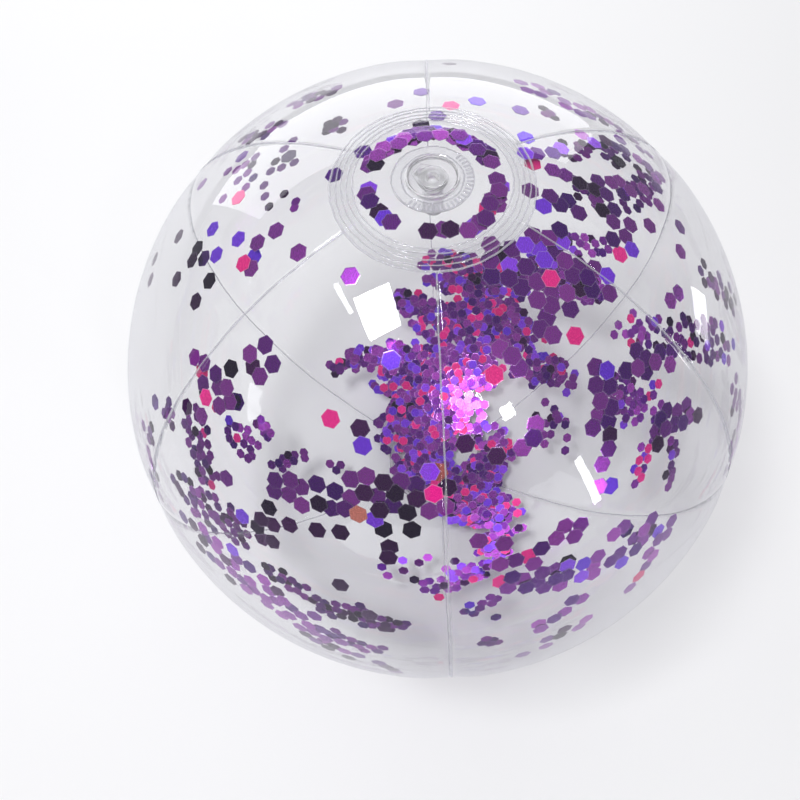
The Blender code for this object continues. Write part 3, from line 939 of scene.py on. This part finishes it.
# %% Strokes round the valve and on the near film
# Name, azimuth and polar angle of each end, half width in degrees, number of sequins, mix.
VALVE_STROKES = (
    ("valve_back", 165, 8.5, 20, 8.5, 0.8, 32, "usual"),
    ("valve_left", 185, 8.5, 230, 8.5, 0.5, 6, "usual"),
    ("valve_front", -100, 8, -75, 8, 0.5, 3, "deep"),
    ("valve_front_right", -62, 9, -45, 9, 0.5, 4, "usual"),
    ("valve_right", 0, 8.5, -30, 8.5, 0.8, 8, "bright"),
)
NEAR_STROKES = (
    ("shoulder_back", 57, 29, 38, 33, 3.0, 12, "usual"),
    ("shoulder_top", 18, 16, 24, 20, 1.0, 3, "usual"),
    ("shoulder_arc", 26, 25, 24, 34, 1.5, 6, "usual"),
    ("shoulder_middle", 10, 17, 3, 20, 1.2, 4, "usual"),
    ("shoulder_row", 4, 22, 6, 29, 1.5, 7, "usual"),
    ("shoulder_fall", -5, 24, -17, 27, 1.8, 8, "usual"),
    ("shoulder_edge", 19, 35, 15, 38, 1.5, 4, "usual"),
    ("disc_right", -8, 13, -10, 18, 1.0, 4, "usual"),
    ("disc_corner", -22, 17, -30, 18, 1.2, 4, "usual"),
    ("disc_below", -58, 14, -35, 17, 2.5, 14, "usual"),
    ("disc_bank", -52, 18, -45, 23, 2.2, 10, "usual"),
    ("disc_ridge", -40, 20, -30, 27, 1.8, 10, "usual"),
    ("upper_pair", -55, 23, -57, 26, 0.8, 3, "usual"),
    ("upper_knot", -50, 28, -48, 28, 0.8, 3, "usual"),
    ("centre_top", -70, 24, -70, 27, 1.0, 4, "usual"),
    ("centre_low", -70, 35, -73, 38, 1.0, 3, "usual"),
    ("left_middle", -141, 33, -135, 35, 1.2, 6, "plum"),
    ("left_low", -147, 41, -141, 41, 2.2, 8, "plum"),
    ("band_left", -121, 46, -108, 44, 2.2, 13, "plum"),
    ("band_right", -108, 42, -92, 42, 2.6, 16, "plum"),
    ("band_dark", -122, 51, -122, 55, 1.6, 7, "dark"),
    ("front_pair", -100, 50, -100, 52, 0.6, 3, "dark"),
    ("rim_left_high", -136, 66, -125, 68, 4.0, 15, "plum"),
    ("rim_left_middle", -125, 66, -112, 71, 4.0, 22, "plum"),
    ("rim_left_low", -113, 73, -106, 78, 3.0, 10, "plum"),
    ("rim_bottom", -101, 79, -98, 85, 1.2, 4, "deep"),
    ("low_right_start", -84, 49, -80, 52, 1.5, 4, "usual"),
    ("low_right_top", -77, 53, -67, 51, 1.6, 7, "usual"),
    ("low_right_row", -80, 57, -64, 60, 2.0, 20, "usual"),
    ("low_right_high", -62, 56, -59, 55, 1.0, 4, "usual"),
    ("low_right_rise", -62, 62, -54, 59, 1.5, 8, "usual"),
    ("low_right_end", -60, 71, -51, 62, 1.6, 9, "usual"),
    ("low_right_step", -76, 69, -69, 65, 1.0, 5, "usual"),
    ("low_right_skirt", -78, 78, -69, 73, 1.6, 7, "deep"),
    ("chain_top", -50, 34, -56, 39, 1.6, 8, "usual"),
    ("chain_low", -56, 41, -61, 47, 0.8, 6, "usual"),
    ("right_row", -42, 36, -33, 40, 1.6, 9, "usual"),
    ("right_hook", -49, 48, -44, 46, 1.0, 4, "usual"),
    ("right_curve", -43, 46, -36, 50, 1.5, 7, "usual"),
)
print("strokes:", len(VALVE_STROKES), "at the valve,", len(NEAR_STROKES), "on the near film")

# %% Strokes on the far film and in the drift
FAR_STROKES = (
    ("back_left_streak", 112, 58, 120, 57, 2.5, 14, "deep"),
    ("back_left_arc", 124, 66, 134, 60, 2.5, 12, "deep"),
    ("back_left_knot", 111, 73, 111, 76, 2.5, 8, "deep"),
    ("back_left_scatter", 122, 78, 140, 74, 5.5, 14, "deep"),
    ("back_left_strays", 131, 79, 126, 96, 4.0, 8, "deep"),
    ("back_right_spot", 63, 68, 62, 70, 1.5, 4, "deep"),
    ("back_right_band", 57, 82, 44, 72, 4.0, 22, "plum"),
    ("back_right_fall", 36, 70, 40, 86, 3.5, 26, "plum"),
    ("back_right_middle", 53, 90, 49, 95, 2.5, 8, "plum"),
    ("back_right_rim", 50, 60, 38, 62, 2.0, 10, "deep"),
    ("back_right_inner", 52, 110, 42, 104, 3.0, 18, "usual"),
    ("right_wall_start", 25, 117, 12, 103, 4.0, 28, "usual"),
    ("right_wall_band", 12, 103, 0, 85, 5.0, 38, "usual"),
    ("right_wall_high", 18, 84, 3, 74, 3.0, 20, "deep"),
    ("right_wall_low", -8, 84, -24, 82, 4.0, 20, "plum"),
    ("right_wall_inner", 12, 126, 2, 124, 4.5, 36, "usual"),
    ("right_wall_glint", 4, 116, -6, 116, 3.0, 12, "bright"),
    ("right_low_glint", -10, 121, -18, 123, 2.5, 11, "bright"),
    ("right_low_streak", -10, 112, -22, 112, 2.0, 10, "usual"),
    ("left_wall_high", -178, 108, -165, 112, 4.5, 32, "usual"),
    ("left_wall_inner", -180, 122, -175, 127, 3.5, 16, "usual"),
    ("left_wall_knot", 175, 129, 177, 131, 2.0, 7, "usual"),
    ("left_wall_edge", -177, 98, -174, 99, 2.5, 6, "deep"),
    ("left_wall_low", -160, 102, -152, 116, 5.0, 44, "plum"),
    ("left_wall_rim", -170, 88, -155, 86, 3.0, 12, "deep"),
    ("left_wall_row", -172, 134, -178, 142, 1.8, 10, "usual"),
    ("left_wall_pair", -172, 149, -174, 152, 1.5, 3, "deep"),
    ("front_wall_corner", -138, 118, -130, 121, 3.0, 14, "plum"),
    ("front_wall_left", -123, 121, -113, 126, 3.0, 22, "deep"),
    ("front_wall_step", -110, 124, -103, 126, 2.2, 11, "deep"),
    ("front_wall_low", -119, 112, -106, 113, 2.5, 13, "deep"),
    ("front_wall_middle", -97, 141, -85, 143, 2.5, 14, "usual"),
    ("front_wall_glint", -86, 147, -78, 143, 3.0, 13, "bright"),
    ("front_wall_right", -84, 131, -75, 134, 1.8, 7, "usual"),
    ("front_wall_spot", -81, 118, -79, 117, 1.6, 5, "usual"),
    ("front_wall_strays", -122, 139, -99, 150, 3.0, 6, "usual"),
)
LOOSE_STROKES = (
    ("drift_top", 88, 126, 62, 128, 6.0, 170, "bright"),
    ("drift_right", 62, 122, 38, 114, 5.0, 120, "usual"),
    ("drift_left_tip", 106, 133, 94, 136, 3.5, 45, "usual"),
    ("drift_shoulder", 92, 141, 50, 138, 6.5, 210, "bright"),
    ("drift_left_wing", 140, 142, 100, 150, 3.5, 70, "usual"),
    ("drift_core", 122, 156, 60, 152, 6.5, 230, "bright"),
    ("drift_heart", 150, 166, 50, 166, 6.5, 220, "bright"),
    ("drift_middle", 180, 172, 260, 174, 6.0, 110, "bright"),
    ("drift_pole", 90, 176, 270, 176, 5.0, 90, "bright"),
    ("drift_bottom", -60, 170, 10, 164, 6.0, 120, "bright"),
    ("drift_toe", -75, 166, -45, 157, 5.5, 110, "bright"),
    ("drift_tail", -50, 152, -72, 147, 4.5, 50, "bright"),
    ("drift_right_fall", 42, 146, 25, 138, 4.5, 60, "bright"),
    ("drift_right_low", 20, 150, 0, 146, 5.0, 16, "usual"),
)
print("strokes:", len(FAR_STROKES), "on the far film,", len(LOOSE_STROKES), "in the drift")

# %% [markdown]
# ## Filling the strokes
#
# Where flakes overlap they must stack, not cut through each other. Each new flake looks for
# neighbours nearer than its own width and takes the first layer that none of them lies in. One that
# would hide another, or finds no free layer, is tried again elsewhere on the stroke. The shape is a
# six-sided disc from create_cone. Flakes that cling ride on the envelope, and those of the drift ride
# with the loose sequins.

# %% Scatter
def pick(mix, generator):
    total = sum(weight for _, weight in mix)
    roll = generator.random() * total
    for finish, weight in mix:
        roll -= weight
        if roll <= 0:
            return finish
    return mix[-1][0]


def place_on_stroke(azimuth_1, polar_1, azimuth_2, polar_2, half_width, generator):
    """A ray to a random place on a stroke with round ends."""
    part = generator.random()
    middle = ray_at(azimuth_1 + (azimuth_2 - azimuth_1) * part, polar_1 + (polar_2 - polar_1) * part)
    aside = middle.orthogonal().normalized()
    aside.rotate(Quaternion(middle, generator.uniform(0.0, 2 * math.pi)))
    away = math.radians(half_width) * math.sqrt(generator.random())
    return (middle + aside * math.tan(away)).normalized()


def scatter(strokes, spacing, layers, placed, generator):
    """Add places for flakes to those there: a ray, a layer, a spin, a finish and a tone each."""
    overlap = math.cos(2 * FLAKE_CORNER / BALL_RADIUS)
    covered = math.cos(spacing * FLAKE_CORNER / BALL_RADIUS)
    for _, azimuth_1, polar_1, azimuth_2, polar_2, half_width, count, mix in strokes:
        made = 0
        for _ in range(count * TRIES_PER_FLAKE):
            if made == count:
                break
            ray = place_on_stroke(azimuth_1, polar_1, azimuth_2, polar_2, half_width, generator)
            near = [flake for flake in placed if flake[0].dot(ray) > overlap]
            taken = {flake[1] for flake in near}
            free = [layer for layer in range(layers) if layer not in taken]
            if not free or any(flake[0].dot(ray) > covered for flake in near):
                continue
            spin = generator.uniform(0.0, math.pi / 3)
            placed.append((ray, free[0], spin, pick(MIXES[mix], generator), generator.random()))
            made += 1
    return placed


def flake_pattern():
    """One flake: a six-sided disc whose two faces are inset and lifted, so that its rim slopes."""
    shape = bmesh.new()
    bmesh.ops.create_cone(
        shape, cap_ends=True, segments=6, radius1=FLAKE_CORNER, radius2=FLAKE_CORNER, depth=FLAKE_THICKNESS,
    )
    caps = [face for face in shape.faces if len(face.verts) == 6]
    bmesh.ops.inset_individual(shape, faces=caps, thickness=FLAKE_RIM, depth=FLAKE_LIFT, use_even_offset=True)
    mesh = bpy.data.meshes.new("flake_pattern")
    shape.to_mesh(mesh)
    shape.free()
    return mesh


def flake_pieces(prefix, body, places, start_depth):
    """One piece per finish, holding every flake of that finish with its own tone and its rim marked for a
    painted highlight.
    """
    for finish, look in FLAKE_LOOKS.items():
        chosen = [place for place in places if place[3] == finish]
        if not chosen:
            continue
        shape = bmesh.new()
        tone_layer = shape.verts.layers.float.new("tone")
        rim_highlight_layer = shape.verts.layers.float.new("rim")
        for ray, layer, spin, _, tone in chosen:
            turn = ray.to_track_quat("Z", "Y").to_matrix().to_4x4() @ Matrix.Rotation(spin, 4, "Z")
            radius = BALL_RADIUS - start_depth - layer * LAYER_STEP
            place = Matrix.Translation(CENTRE + ray * radius) @ turn
            shape.from_mesh(FLAKE_PATTERN)
            shape.verts.ensure_lookup_table()
            for vertex in shape.verts[-FLAKE_POINTS:]:
                vertex[tone_layer] = tone
                # Marks the flake's outer band for the painted highlight in "flake_tone".
                vertex[rim_highlight_layer] = float(vertex.co.xy.length > FLAKE_CORNER * 0.97)
                vertex.co = place @ vertex.co
        mesh = bpy.data.meshes.new(f"{prefix}_{finish}")
        shape.to_mesh(mesh)
        shape.free()
        mesh.materials.append(look)
        piece = bpy.data.objects.new(f"{prefix}_{finish}", mesh)
        scene.collection.objects.link(piece)
        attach(piece, body)
        print(piece.name, len(chosen), "flakes")


# %% Place the sequins
FLAKE_PATTERN = flake_pattern()
FLAKE_POINTS = len(FLAKE_PATTERN.vertices)
generator = random.Random(SCATTER_SEED)
lone_strokes = [
    (f"lone_{finish}", azimuth, polar, azimuth, polar, LONE_JITTER, 1, finish)
    for finish, spots in LONE_SEQUINS.items()
    for azimuth, polar in spots
]
clinging = scatter(VALVE_STROKES, PACKED, CLING_LAYERS, [], generator)
clinging = scatter(lone_strokes, PACKED, CLING_LAYERS, clinging, generator)
clinging = scatter(NEAR_STROKES, APART, CLING_LAYERS, clinging, generator)
clinging = scatter(FAR_STROKES, FAR_APART, CLING_LAYERS, clinging, generator)
loose = scatter(LOOSE_STROKES, HEAPED, LOOSE_LAYERS, [], generator)
flake_pieces("clinging_sequins", "envelope", clinging, CLING_START)
flake_pieces("loose_sequins", "loose_sequins", loose, LOOSE_START)
print("sequins:", len(clinging), "clinging,", len(loose), "in the drift")

# %% [markdown]
# ## Finishes for the sequins that the frame already has
#
# The frame holds forty sequins of its own. Their shape is right, so they stay and only get the same
# finishes as the others, the painted-shade "dark" one included where a slot names it. Their colour
# comes from the record's material slots.

# %% Frame sequins
slots = {part["node"]: part["material_slot"] for part in frame["record"]["subparts"]}
for node, node_object in frame["nodes"].items():
    if "sequin" in node:
        look = FLAKE_LOOKS[slots[node].replace("sequin_", "")]
        node_object.data.materials.clear()
        node_object.data.materials.append(look)
print("frame sequins dressed:", len([n for n in frame["nodes"] if "sequin" in n]))

# %% [markdown]
# ## Render needs of clear film
#
# A ray through the ball crosses the near wall and the far wall, each with two faces, and near the
# rim it crosses several welds too, so the number of clear crossings allowed is raised.

scene.cycles.transparent_max_bounces = 48
